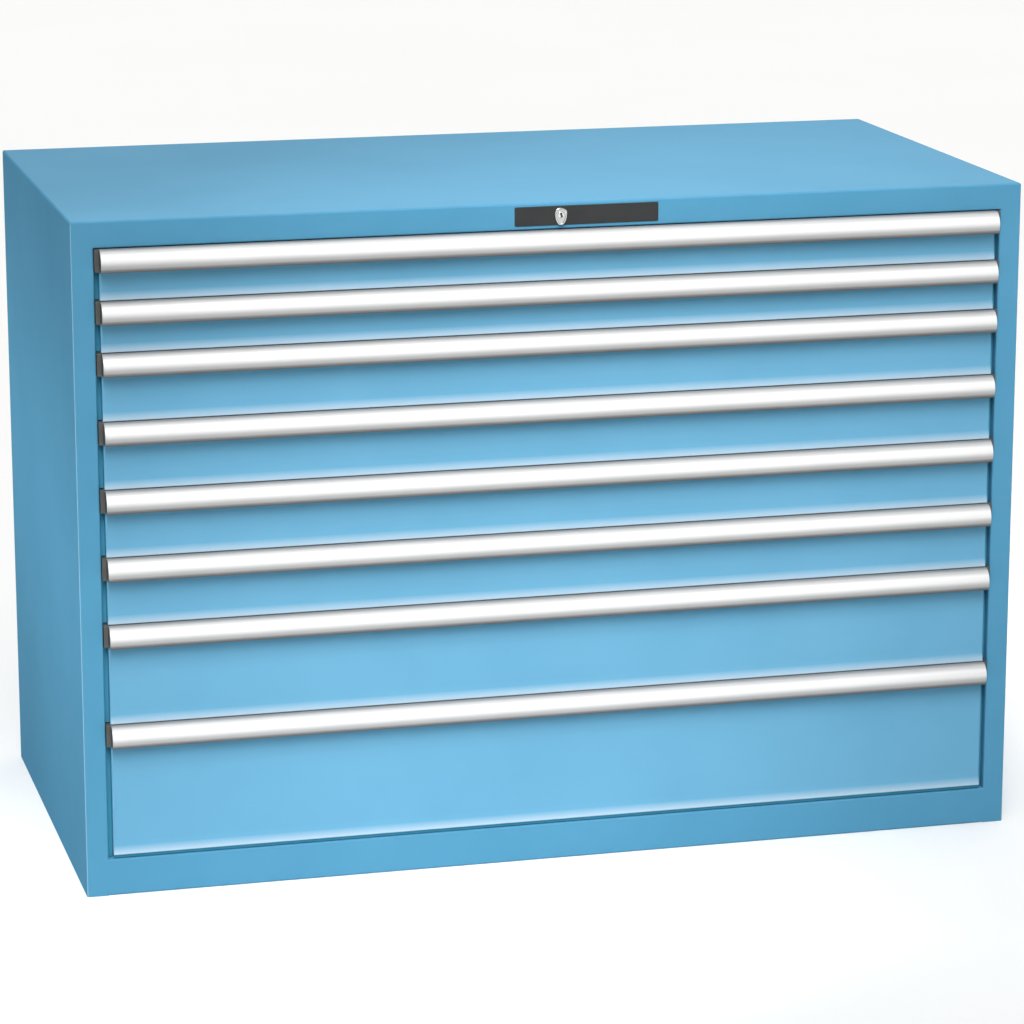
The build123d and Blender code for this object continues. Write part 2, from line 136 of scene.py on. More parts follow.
def makeMetal(look):
    material, tree, shader, coords = startMaterial(look["name"])
    stretched = addNode(tree, "ShaderNodeMapping", {"Vector": coords, "Scale": look["stretch"]})
    lines = addNode(tree, "ShaderNodeTexNoise",
                    {"Vector": stretched.outputs["Vector"], "Scale": 1 / (look["grainMm"] * mm),
                     "Detail": 3.0, "Roughness": 0.6})
    dull = addNode(tree, "ShaderNodeMapRange",
                   {"Value": lines.outputs["Fac"], "To Min": look["roughness"] - look["spread"],
                    "To Max": look["roughness"] + look["spread"]})
    bump = addNode(tree, "ShaderNodeBump",
                   {"Height": lines.outputs["Fac"], "Strength": look["grainStrength"],
                    "Distance": look["grainDepthMm"] * mm})
    colour = cloudedColour(tree, coords, look)[1]
    # painted shade: the strip is multiplied darker at its top corner and, more, towards its lip
    if "paintedShadeColours" in look:
        drop = addNode(tree, "ShaderNodeAttribute", attribute_name="drop")
        paintedShade = addNode(tree, "ShaderNodeValToRGB", {"Fac": drop.outputs["Fac"]})
        paintedShade.color_ramp.interpolation = "EASE"
        while len(paintedShade.color_ramp.elements) < len(look["paintedShadeColours"]):
            paintedShade.color_ramp.elements.new(0.5)
        for stop, (place, code) in zip(paintedShade.color_ramp.elements, look["paintedShadeColours"]):
            stop.position = place
            stop.color = hexLinear(code)
        colour = addNode(tree, "ShaderNodeMix", {0: 1.0, 6: colour, 7: paintedShade.outputs["Color"]},
                         data_type="RGBA", blend_type="MULTIPLY").outputs[2]
    tree.links.new(colour, shader.inputs["Base Color"])
    tree.links.new(dull.outputs["Result"], shader.inputs["Roughness"])
    tree.links.new(bump.outputs["Normal"], shader.inputs["Normal"])
    shader.inputs["Metallic"].default_value = look["metallic"]
    return material


# Aluminium extrusion, matt etched and clear anodised: nearly white, with faint die lines along its length.
# Painted shade greys it along the top corner and, deeper, towards the edge of the rolled-under lip.
anodised = makeMetal({"name": "matt anodised aluminium", "colours": ("#E2E2E2", "#E6E6E6"), "metallic": 0.2,
                      "roughness": 0.5, "spread": 0.05, "stretch": (0.02, 1.0, 1.0), "grainMm": 1.2,
                      "grainDepthMm": 0.03, "grainStrength": 0.15, "cloudMm": 160,
                      # the painted shade from the top of the strip, 0, to its lip, 1
                      "paintedShadeColours": ((0.0, "#A4A4A4"), (0.1, "#C8C8C8"), (0.3, "#FFFFFF"), (0.44, "#FFFFFF"),
                                      (0.74, "#C0C0C0"), (0.89, "#7E7E7E"), (1.0, "#464645"))})
# Cold rolled steel, bright zinc plated: cool grey metal with soft clouds and rolling lines along the rail.
zincSteel = makeMetal({"name": "zinc plated steel", "colours": ("#A9AEB3", "#BDC1C4"), "metallic": 1.0,
                       "roughness": 0.36, "spread": 0.08, "stretch": (1.0, 0.05, 1.0), "grainMm": 1.6,
                       "grainDepthMm": 0.03, "grainStrength": 0.2, "cloudMm": 45})
# Die cast zinc, polished and chrome plated: a soft mirror with the finest swirl.
chrome = makeMetal({"name": "polished chrome plate", "colours": ("#D6D7D8", "#DCDDDD"), "metallic": 1.0,
                    "roughness": 0.22, "spread": 0.04, "stretch": (1.0, 1.0, 1.0), "grainMm": 0.8,
                    "grainDepthMm": 0.01, "grainStrength": 0.1, "cloudMm": 6})
# Turned brass, nickel plated: paler and softer than the chrome round it.
nickelBrass = makeMetal({"name": "nickel plated brass", "colours": ("#F3F1EC", "#F7F6F2"), "metallic": 0.7,
                         "roughness": 0.34, "spread": 0.04, "stretch": (1.0, 1.0, 1.0), "grainMm": 0.8,
                         "grainDepthMm": 0.01, "grainStrength": 0.1, "cloudMm": 6})
# Brass inside the keyway, painted near black as painted shade, so the key's zigzag reads as a dark mark.
keywayShadeBrass = makeMetal({"name": "keyway brass in painted shade", "colours": ("#1C1A17", "#24211C"), "metallic": 0.6,
                         "roughness": 0.7, "spread": 0.08, "stretch": (1.0, 0.2, 1.0), "grainMm": 0.5,
                         "grainDepthMm": 0.02, "grainStrength": 0.2, "cloudMm": 3})


def makePlastic(look):
    material, tree, shader, coords = startMaterial(look["name"])
    grain = addNode(tree, "ShaderNodeTexVoronoi",
                    {"Vector": coords, "Scale": 1 / (look["grainMm"] * mm)}, feature="SMOOTH_F1")
    clouds, colour = cloudedColour(tree, coords, look)
    bump = addNode(tree, "ShaderNodeBump",
                   {"Height": grain.outputs["Distance"], "Strength": look["grainStrength"],
                    "Distance": look["grainDepthMm"] * mm})
    dull = addNode(tree, "ShaderNodeMapRange",
                   {"Value": clouds, "To Min": look["roughness"] - look["spread"],
                    "To Max": look["roughness"] + look["spread"]})
    tree.links.new(colour, shader.inputs["Base Color"])
    tree.links.new(dull.outputs["Result"], shader.inputs["Roughness"])
    tree.links.new(bump.outputs["Normal"], shader.inputs["Normal"])
    shader.inputs["IOR"].default_value = look["ior"]
    return material


# Injection moulded polypropylene: dark grey, matt, with the 0.6 mm grain of a spark eroded mould.
capPlastic = makePlastic({"name": "grained dark grey polypropylene", "colours": ("#4A4B48", "#51524F"),
                          "grainMm": 0.6, "grainDepthMm": 0.05, "grainStrength": 0.4, "cloudMm": 12,
                          "roughness": 0.55, "spread": 0.05, "ior": 1.46})
# Moulded ABS: nearly black grey, satin, with a finer and shallower grain.
platePlastic = makePlastic({"name": "satin charcoal ABS", "colours": ("#272829", "#2B2C2D"), "grainMm": 0.5,
                            "grainDepthMm": 0.03, "grainStrength": 0.3, "cloudMm": 30, "roughness": 0.5,
                            "spread": 0.05, "ior": 1.46})
print("materials:", len(bpy.data.materials))


# what the mesh work of all pieces shares: a face looks one way if its normal keeps this share of that way,
# an edge this long runs across the cabinet, and a fold sharper than this many degrees is shaded sharp
meshWork = {"facing": 0.9, "across": 100.0 * mm, "sharp": 40.0}


def vertsOf(geom):
    return [g for g in geom if isinstance(g, bmesh.types.BMVert)]


def edgesOf(geom):
    return [g for g in geom if isinstance(g, bmesh.types.BMEdge)]


def allOf(bm):
    return bm.verts[:] + bm.edges[:] + bm.faces[:]


def facesLooking(bm, way):
    return [f for f in bm.faces if f.normal.dot(Vector(way)) > meshWork["facing"]]


def runsAcross(edge):
    return abs(edge.verts[0].co.x - edge.verts[1].co.x) > meshWork["across"]


def pullEdges(bm, edges, step):
    drawn = bmesh.ops.extrude_edge_only(bm, edges=edges)["geom"]
    bmesh.ops.translate(bm, vec=step, verts=vertsOf(drawn))
    return drawn


def pullFaces(bm, faces, step):
    drawn = bmesh.ops.extrude_face_region(bm, geom=faces)["geom"]
    bmesh.ops.translate(bm, vec=step, verts=vertsOf(drawn))


def pullApart(bm, faces, step):  # each face on its own
    drawn = bmesh.ops.extrude_discrete_faces(bm, faces=faces)["faces"]
    bmesh.ops.translate(bm, vec=step, verts=[v for f in drawn for v in f.verts])


def cutAcross(bm, spot, way, clearOuter=False):
    bmesh.ops.bisect_plane(bm, geom=allOf(bm), plane_co=spot, plane_no=way, clear_outer=clearOuter)


def roundFolds(bm, edges, radius, segments=4):
    bmesh.ops.bevel(bm, geom=edges, offset=radius, offset_type="OFFSET", affect="EDGES", segments=segments,
                    profile=0.5, material=-1)


def foldedSheet(points, run, fold, sheet):
    bm = bmesh.new()
    corners = [bm.verts.new(p) for p in points]
    pullEdges(bm, [bm.edges.new(pair) for pair in zip(corners, corners[1:])], run)
    roundFolds(bm, [e for e in bm.edges if len(e.link_faces) == 2], fold)
    bmesh.ops.solidify(bm, geom=bm.faces[:], thickness=sheet)
    return bm


def addBlock(bm, low, high):
    place = Matrix.Translation((low + high) / 2) @ Matrix.Diagonal((*(high - low), 1.0))
    return bmesh.ops.create_cube(bm, size=1.0, matrix=place)["verts"]


def mirrorAcross(bm, geom):
    bmesh.ops.mirror(bm, geom=geom, matrix=Matrix.Identity(4), merge_dist=weld, axis="X")
    bmesh.ops.recalc_face_normals(bm, faces=bm.faces[:])


def finishPiece(bm, name, material, body, slotName, *nodes):
    bmesh.ops.recalc_face_normals(bm, faces=bm.faces[:])
    mesh = bpy.data.meshes.new(name)
    bm.to_mesh(mesh)
    bm.free()
    mesh.polygons.foreach_set("use_smooth", [True] * len(mesh.polygons))
    mesh.set_sharp_from_angle(angle=math.radians(meshWork["sharp"]))
    mesh.materials.append(material)
    piece = bpy.data.objects.new(name, mesh)
    bpy.context.scene.collection.objects.link(piece)
    even = piece.modifiers.new("even shading", "WEIGHTED_NORMAL")  # keeps the flats flat beside rounded folds
    even.keep_sharp = True
    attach(piece, body)
    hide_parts(*nodes)
    return piece


# folded sheet housing; the painted highlight, a pale line on a front fold, goes a little past the fold's
# middle
housing = {"sheet": 1.5 * mm, "fold": 3.0 * mm, "column": 33.0 * mm, "lip": 20.0 * mm, "lipFold": 2.0 * mm,
           "rearFlange": 36.0 * mm, "baseLip": 30.0 * mm, "railOverlap": 2.9 * mm, "lidHighlight": 0.475,
           "paintedHighlightReach": 1.05}
sideLow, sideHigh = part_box("right_side_panel")
topLow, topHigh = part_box("top_panel")
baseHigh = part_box("base_panel")[1]
sideX, frontY, backY, roofZ = sideHigh.x, sideLow.y, sideHigh.y, topHigh.z
openX = sideX - housing["column"]
railX = openX + housing["railOverlap"]
lidZ = roofZ - housing["fold"]  # the lid's rounded edges end here, level with the panels


def makeSidePanel(side, name, node):
    lipY = frontY + housing["lip"]
    points = [(openX, lipY), (openX, frontY), (sideX, frontY), (sideX, backY),
              (sideX - housing["rearFlange"], backY)]
    points = [(side * x, y, 0.0) for x, y in points]
    if side > 0:
        points.reverse()
    bm = foldedSheet(points, (0, 0, lidZ), housing["fold"], housing["sheet"])
    # how far the middle of the front fold lies inside its corner
    crest = 2 * housing["fold"] * (1 - math.cos(math.radians(45)))
    # painted highlight: the front fold is painted pale
    paintedHighlight = bm.verts.layers.float.new("paintedHighlight")
    for vert in bm.verts:
        if sideX - abs(vert.co.x) + vert.co.y - frontY < housing["paintedHighlightReach"] * crest:
            vert[paintedHighlight] = 1.0
    finishPiece(bm, name, bluePaint, "housing", "blue_paint", node)


def makeTop():
    bm = bmesh.new()
    addBlock(bm, Vector((-sideX, frontY, topLow.z)), Vector((sideX, backY, roofZ)))
    roundFolds(bm, [e for e in bm.edges if max(v.co.z for v in e.verts) > lidZ], housing["fold"])
    cutAcross(bm, (0, 0, lidZ), (0, 0, -1), clearOuter=True)
    bmesh.ops.remove_doubles(bm, verts=bm.verts[:], dist=weld)
    for x in (-railX, railX):
        cutAcross(bm, (x, 0, 0), (1, 0, 0))
    rail = [e for e in bm.edges if e.is_boundary and all(
        v.co.y < frontY + near and abs(v.co.x) < railX + near for v in e.verts)]
    for step in ((0, 0, topLow.z - lidZ), (0, housing["lip"], 0)):  # down into the rail, back into its lip
        drawn = pullEdges(bm, rail, step)
        rail = [e for e in edgesOf(drawn) if e.is_boundary and runsAcross(e)]
    lipFold = [e for e in bm.edges if all(
        abs(v.co.z - topLow.z) < near and v.co.y < frontY + near for v in e.verts)]
    roundFolds(bm, lipFold, housing["lipFold"])
    bmesh.ops.solidify(bm, geom=bm.faces[:], thickness=housing["sheet"])
    paintedHighlight = bm.verts.layers.float.new("paintedHighlight")
    for vert in bm.verts:
        if vert.co.z > roofZ - weld:
            vert[paintedHighlight] = housing["lidHighlight"]  # painted sheen: the flat of the lid is painted a touch paler
    finishPiece(bm, "topPanel", bluePaint, "housing", "blue_paint", "top_panel")


def makeBase():
    floorZ, rearY, lip, sheet = baseHigh.z, baseHigh.y, housing["baseLip"], housing["sheet"]
    points = [(frontY + lip, 0), (frontY, 0), (frontY, floorZ), (rearY, floorZ), (rearY, 0), (rearY - lip, 0)]
    bm = foldedSheet([(-railX, y, z) for y, z in points], (2 * railX, 0, 0), housing["fold"], sheet)
    # the floor runs on behind the columns
    strip = addBlock(bm, Vector((railX, frontY + housing["lip"], floorZ - sheet)),
                     Vector((baseHigh.x, rearY - housing["fold"], floorZ)))
    edges = dict.fromkeys(e for v in strip for e in v.link_edges)
    faces = dict.fromkeys(f for v in strip for f in v.link_faces)
    mirrorAcross(bm, [*strip, *edges, *faces])
    finishPiece(bm, "basePanel", bluePaint, "housing", "blue_paint", "base_panel")


makeSidePanel(1, "rightSide", "right_side_panel")
makeSidePanel(-1, "leftSide", "left_side_panel")
makeTop()
makeBase()
print("housing: side panels, top and base folded")


# drawer fronts
front = {"flareReach": 3.5 * mm, "flareHeight": 22.0 * mm, "flareSteps": 8, "edge": 1.2 * mm,
         "edgeAngle": 35.0, "sheet": 1.2 * mm, "flange": 7.0 * mm, "flangeDepth": 12.0 * mm,
         "flangeGap": 0.4 * mm, "footDepth": 2.0 * mm, "foot": 5.6 * mm, "hang": 0.8 * mm}


def makeFront(number):
    low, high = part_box("drawer_%d_front" % number)
    lowest = number == drawerNumbers[-1]
    if not lowest:
        low.z -= front["hang"]  # the sheet's raw edge hangs down close to the handle below
    reach, height, sheet = front["flareReach"], front["flareHeight"], front["sheet"]
    faceY = low.y + reach
    radius = (height ** 2 + reach ** 2) / (2 * reach)
    bm = bmesh.new()
    start = bm.verts.new((low.x, faceY, low.z + height))
    bmesh.ops.spin(bm, geom=[start], cent=(low.x, faceY - radius, low.z + height), axis=(1, 0, 0),
                   angle=-math.asin(height / radius), steps=front["flareSteps"])
    flare = sorted(bm.verts, key=lambda v: v.co.z)
    rest = [bm.verts.new((low.x, y, z)) for y, z in ((faceY, high.z), (high.y, high.z), (high.y, low.z))]
    pullFaces(bm, [bm.faces.new(flare + rest)], (high.x - low.x, 0, 0))
    bmesh.ops.recalc_face_normals(bm, faces=bm.faces[:])
    edges = [e for e in bm.edges if e.calc_face_angle(0) > math.radians(front["edgeAngle"])
             and all(v.co.y < faceY + near for v in e.verts)]
    roundFolds(bm, edges, front["edge"], segments=3)
    flangeY = faceY + front["flangeDepth"]
    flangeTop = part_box("drawer_%d_end_caps" % number)[0].z - front["flangeGap"]
    for spot, way in (((0, flangeY, 0), (0, 1, 0)), ((0, flangeY + sheet, 0), (0, 1, 0)),
                      ((0, 0, flangeTop), (0, 0, 1))):
        cutAcross(bm, spot, way)
    for side in (-1, 1):  # a narrow flange turned out on each side backs the gap beside the front
        middles = [(f, f.calc_center_median()) for f in facesLooking(bm, (side, 0, 0))]
        strip = [f for f, spot in middles if spot.z < flangeTop and flangeY < spot.y < flangeY + sheet]
        pullApart(bm, strip, (side * front["flange"], 0, 0))
    bm.normal_update()
    if lowest:  # it also has a flange turned down, behind the gap over the bottom rail
        footY = faceY + front["footDepth"]
        for y in (footY, footY + sheet):
            cutAcross(bm, (0, y, 0), (0, 1, 0))
        middles = [(f, f.calc_center_median()) for f in facesLooking(bm, (0, 0, -1))]
        strip = [f for f, spot in middles if abs(spot.x) > high.x or footY < spot.y < footY + sheet]
        pullApart(bm, strip, (0, 0, -front["foot"]))
    # the flanges take the second, deeper blue coat: painted shade behind the gaps
    for face in bm.faces:
        spot = face.calc_center_median()
        if abs(spot.x) > high.x + weld or spot.z < low.z - weld:
            face.material_index = 1
    # painted highlight: the face is painted paler towards the flared lower edge, most at the bottom
    paintedHighlight = bm.verts.layers.float.new("paintedHighlight")
    for vert in bm.verts:
        if vert.co.y < faceY + front["edge"]:
            vert[paintedHighlight] = min(1.0, max(0.0, 1.0 - (vert.co.z - low.z) / height))
    piece = finishPiece(bm, "front%d" % number, frontPaint, "drawer_%d" % number, "blue_paint",
                        "drawer_%d_front" % number)
    piece.data.materials.append(gapShadePaint)


for number in drawerNumbers:
    makeFront(number)
print("drawer fronts with flared lower edges")


# handle strips and their end caps
handle = {"radius": 21.45 * mm, "topDepth": 9.0 * mm, "lipAngle": 38.0, "wall": 2.0 * mm, "web": 2.0 * mm,
          "webHeight": 14.0 * mm, "steps": 28, "cornerRound": 1.3 * mm, "lipRound": 0.6 * mm}
cap = {"plug": 12.0 * mm, "fit": 0.15 * mm, "edge": 0.8 * mm, "proud": 4.0 * mm, "bulge": 0.9 * mm,
       "steps": 16}
arcRise = math.sqrt(handle["radius"] ** 2 - handle["topDepth"] ** 2)  # top of the strip over the arc's centre
lipRay = Vector((0, -math.cos(math.radians(handle["lipAngle"])), -math.sin(math.radians(handle["lipAngle"]))))


def spinUp(bm, geom, centre, topAngle, steps):  # from the lip up over the front of the strip
    return bmesh.ops.spin(bm, geom=geom, cent=centre, axis=(1, 0, 0), steps=steps,
                          angle=math.radians(-handle["lipAngle"] - topAngle))["geom_last"]


def makeHandle(number):
    low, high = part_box("drawer_%d_handle" % number)
    radius, wall, web = handle["radius"], handle["wall"], handle["web"]
    topAngle = math.degrees(math.atan2(arcRise, handle["topDepth"]))
    centre = Vector((low.x, high.y, high.z - arcRise))
    lipCorners = [centre + lipRay * r for r in (radius, radius - wall)]
    bm = bmesh.new()
    tip = [bm.verts.new(corner) for corner in lipCorners]
    last = spinUp(bm, [*tip, bm.edges.new(tip)], centre, topAngle, handle["steps"])
    for y in (high.y - web, high.y):  # top flange, as far as the web and over it
        drawn = bmesh.ops.extrude_edge_only(bm, edges=edgesOf(last))["geom"]
        ends = sorted(vertsOf(drawn), key=lambda v: v.co.z)
        ends[0].co = (low.x, y, high.z - wall)
        ends[1].co = (low.x, y, high.z)
        last = [e for e in ends[0].link_edges if ends[1] in e.verts]
    under = [e for e in bm.edges if all(
        abs(v.co.z - high.z + wall) < weld and v.co.y > high.y - web - weld for v in e.verts)]
    pullEdges(bm, under, (0, 0, wall - handle["webHeight"]))
    pullFaces(bm, bm.faces[:], (high.x - low.x, 0, 0))
    bmesh.ops.remove_doubles(bm, verts=bm.verts[:], dist=weld)
    bmesh.ops.recalc_face_normals(bm, faces=bm.faces[:])
    lengthwise = [(e, e.verts[0].co) for e in bm.edges if runsAcross(e)]
    corner = [e for e, spot in lengthwise if abs(spot.z - high.z) < weld
              and spot.y < high.y - handle["topDepth"] / 2]
    lipEdges = [e for e, spot in lengthwise if any((spot - c).yz.length < weld for c in lipCorners)]
    roundFolds(bm, corner, handle["cornerRound"])
    roundFolds(bm, lipEdges, handle["lipRound"], segments=3)
    drop = bm.verts.layers.float.new("drop")
    for vert in bm.verts:
        vert[drop] = (high.z - vert.co.z) / (high.z - low.z)
    finishPiece(bm, "handle%d" % number, anodised, "drawer_%d" % number, "handle_aluminium",
                "drawer_%d_handle" % number)


def makeEndCaps(number):
    low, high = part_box("drawer_%d_end_caps" % number)
    high.x += cap["bulge"]
    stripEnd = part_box("drawer_%d_handle" % number)[1]
    centre = stripEnd - Vector((0, 0, arcRise))
    radius = handle["radius"] - handle["wall"] - cap["fit"]
    rootY = stripEnd.y - handle["web"] - cap["fit"]
    plugTop = stripEnd.z - handle["wall"] - cap["fit"]
    topAngle = math.degrees(math.asin((plugTop - centre.z) / radius))
    bm = bmesh.new()
    addBlock(bm, Vector((stripEnd.x, stripEnd.y - cap["proud"], low.z)), high)
    roundFolds(bm, bm.edges[:], cap["edge"], segments=3)
    tip = bm.verts.new(centre + lipRay * radius)
    spinUp(bm, [tip], centre, topAngle, cap["steps"])
    arc = [tip]
    while len(arc) <= cap["steps"]:  # in order, from the lip up
        arc.append(next(v for e in arc[-1].link_edges for v in e.verts if v not in arc))
    root = [bm.verts.new((stripEnd.x, rootY, z)) for z in (plugTop, tip.co.z)]
    pullFaces(bm, [bm.faces.new(arc + root)], (-cap["plug"], 0, 0))
    mirrorAcross(bm, allOf(bm))
    finishPiece(bm, "endCaps%d" % number, capPlastic, "drawer_%d" % number, "cap_plastic",
                "drawer_%d_end_caps" % number)


for number in drawerNumbers:
    makeHandle(number)
    makeEndCaps(number)
print("handle strips and end caps")


# trays with a row of divider slots at each end, and a lug at the back for the locking bar
tray = {"sheet": 1.0 * mm, "rim": 6.0 * mm, "fold": 2.5 * mm, "reach": 22.0 * mm, "slotPitch": 17.0 * mm,
        "slotWidth": 3.4 * mm, "slotMargin": 13.0 * mm, "lugSheet": 2.0 * mm, "lugWidth": 30.0 * mm,
        "lugLip": 13.0 * mm, "lugFoot": 14.0 * mm, "lugHeight": 39.0 * mm, "lugX": -17.2 * mm}


def joinInto(bm, other):
    spare = bpy.data.meshes.new("spare")
    other.to_mesh(spare)
    other.free()
    bm.from_mesh(spare)
    bpy.data.meshes.remove(spare)


def slottedWall(halfWidth, wallY, lowZ, highZ):
    pitch, slot = tray["slotPitch"], tray["slotWidth"]
    count = int(round(2 * halfWidth / pitch))
    bm = bmesh.new()
    left, right = -halfWidth, -halfWidth + pitch
    corners = [(left, lowZ), (right, lowZ), (right, highZ), (left, highZ)]
    field = bm.faces.new([bm.verts.new((x, wallY, z)) for x, z in corners])
    bmesh.ops.inset_region(bm, faces=[field], use_boundary=True, use_even_offset=True, thickness=slot)
    middle = Vector((left + pitch / 2, wallY, (lowZ + highZ) / 2))
    factor = (slot / (pitch - 2 * slot), 1.0,
              (highZ - lowZ - 2 * tray["slotMargin"]) / (highZ - lowZ - 2 * slot))
    bmesh.ops.scale(bm, vec=factor, verts=field.verts[:], space=Matrix.Translation(-middle))
    bmesh.ops.delete(bm, geom=[field], context="FACES")
    bmesh.ops.spin(bm, geom=allOf(bm), cent=middle, axis=(0, 0, 1), dvec=(pitch, 0, 0), angle=0,
                   steps=count - 1, use_duplicate=True)
    bmesh.ops.remove_doubles(bm, verts=bm.verts[:], dist=weld)
    bmesh.ops.recalc_face_normals(bm, faces=bm.faces[:])
    bmesh.ops.solidify(bm, geom=bm.faces[:], thickness=tray["sheet"])
    return bm


def makeTray(number):
    low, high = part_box("drawer_%d_tray" % number)
    sheet, lugSheet = tray["sheet"], tray["lugSheet"]
    halfX = high.x - tray["rim"]
    wallY = high.y - tray["reach"]  # back of the tray, ahead of its lug
    rimZ = high.z - sheet
    points = [(-high.x, rimZ), (-halfX, rimZ), (-halfX, low.z), (halfX, low.z), (halfX, rimZ), (high.x, rimZ)]
    bm = foldedSheet([(x, low.y, z) for x, z in points], (0, wallY - low.y, 0), tray["fold"], sheet)
    for y in (low.y, wallY - sheet):
        joinInto(bm, slottedWall(halfX - sheet, y, low.z + sheet, high.z))
    lugZ = low.z + tray["lugHeight"]
    left = tray["lugX"] - tray["lugWidth"] / 2
    path = [(wallY, lugZ + tray["lugFoot"]), (wallY, lugZ), (high.y, lugZ), (high.y, lugZ - tray["lugLip"])]
    joinInto(bm, foldedSheet([(left, y, z) for y, z in path], (tray["lugWidth"], 0, 0), lugSheet, lugSheet))
    finishPiece(bm, "tray%d" % number, greyPaint, "drawer_%d" % number, "tray_paint",
                "drawer_%d_tray" % number)


# drawer rails and the middle members that follow at half the way
slide = {"sheet": 2.0 * mm, "fold": 2.5 * mm, "drawerDepth": 15.2 * mm, "middleDepth": 14.5 * mm}


def makeRails(node, name, body, depth, opensOutwards):
    low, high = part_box(node)
    webX, tipX = (high.x - depth, high.x) if opensOutwards else (high.x, high.x - depth)
    points = [(tipX, low.y, high.z), (webX, low.y, high.z), (webX, low.y, low.z), (tipX, low.y, low.z)]
    if not opensOutwards:
        points.reverse()
    bm = foldedSheet(points, (0, high.y - low.y, 0), slide["fold"], slide["sheet"])
    mirrorAcross(bm, allOf(bm))
    finishPiece(bm, name, zincSteel, body, "slide_steel", node)


for number in drawerNumbers:
    makeTray(number)
    makeRails("drawer_%d_rails" % number, "drawerRails%d" % number, "drawer_%d" % number,
              slide["drawerDepth"], True)
    makeRails("drawer_%d_middle_rails" % number, "middleRails%d" % number, "middle_%d" % number,
              slide["middleDepth"], False)
print("trays and slides")


# lock: plate, shield with barrel and nut, plug; the outlines of shield and keyway are in mm from its axis
lock = {"plateSet": 1.0 * mm, "plateTrim": 1.8 * mm, "plateEdge": 0.5 * mm, "plateCorner": 2.0 * mm,
        "rim": 1.3 * mm, "rimEdge": 0.7 * mm, "groove": 0.5 * mm, "thickness": 4.5 * mm, "corner": 1.9 * mm,
        "bore": 4.65 * mm, "collar": 0.8 * mm, "barrel": 7.0 * mm, "fit": 0.3 * mm, "ringSides": 40,
        "nutAcross": 22.0 * mm, "nutThickness": 5.0 * mm, "nutFit": 0.05 * mm, "nutSides": 6,
        "plugEdge": 0.3 * mm, "keyDepth": 14.0 * mm,
        "shield": ((-8.8, 7.0), (-4.4, 9.8), (0.0, 10.5), (4.4, 9.8), (8.8, 7.0), (9.0, 0.0), (8.0, -6.5),
                   (5.6, -11.8), (2.4, -14.8), (-2.4, -14.8), (-5.6, -11.8), (-8.0, -6.5), (-9.0, 0.0)),
        "keyway": ((-2.0, 3.6), (1.0, 3.7), (1.4, 1.7), (0.9, 0.5), (2.5, -1.2), (1.5, -3.7), (-1.6, -3.7),
                   (-0.6, -1.4), (-1.9, 0.2), (-1.5, 1.5))}
plateLow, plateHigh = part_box("lock_plate")
plateLow += Vector((0, lock["plateSet"], lock["plateTrim"]))  # a thin plate, clear of the rail's lower fold
plugLow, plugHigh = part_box("lock_plug")
rosetteLow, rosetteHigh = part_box("lock_rosette")
lockZ = (plugLow.z + plugHigh.z) / 2
facingFront = Matrix.Rotation(math.radians(90), 4, "X")


def ringAt(bm, radius, y, sides=lock["ringSides"]):
    turn = Matrix.Rotation(math.pi / sides, 4, "Z")
    verts = bmesh.ops.create_circle(bm, segments=sides, radius=radius,
                                    matrix=Matrix.Translation((0, y, lockZ)) @ facingFront @ turn)["verts"]
    return list(dict.fromkeys(e for v in verts for e in v.link_edges))


def fillBetween(bm, edges):
    bmesh.ops.triangle_fill(bm, use_beauty=True, edges=edges)


def tube(bm, *rings):
    for first, second in zip(rings, rings[1:]):
        if abs(first[0].verts[0].co.y - second[0].verts[0].co.y) < weld:  # two rings in one plane
            fillBetween(bm, first + second)
        else:
            bmesh.ops.bridge_loops(bm, edges=first + second)


def openFace(bm, face):
    edges = list(face.edges)
    bmesh.ops.delete(bm, geom=[face], context="FACES_ONLY")
    return edges


def broadest(bm, way):
    return max(facesLooking(bm, way), key=lambda f: f.calc_area())


def makeLockPlate():
    bm = bmesh.new()
    addBlock(bm, plateLow, plateHigh)
    corners = [e for e in bm.edges if abs(e.verts[0].co.y - e.verts[1].co.y) > near]
    roundFolds(bm, corners, lock["plateCorner"])
    rim = [e for e in bm.edges if all(v.co.y < plateLow.y + weld for v in e.verts)]
    roundFolds(bm, rim, lock["plateEdge"], segments=3)
    rings = []
    for way, y in (((0, -1, 0), plateLow.y), ((0, 1, 0), plateHigh.y)):
        outline = openFace(bm, broadest(bm, way))
        rings.append(ringAt(bm, lock["barrel"] + lock["fit"], y))
        fillBetween(bm, outline + rings[-1])
    tube(bm, *rings)
    finishPiece(bm, "lockPlate", platePlastic, "housing", "lock_plate_plastic", "lock_plate")


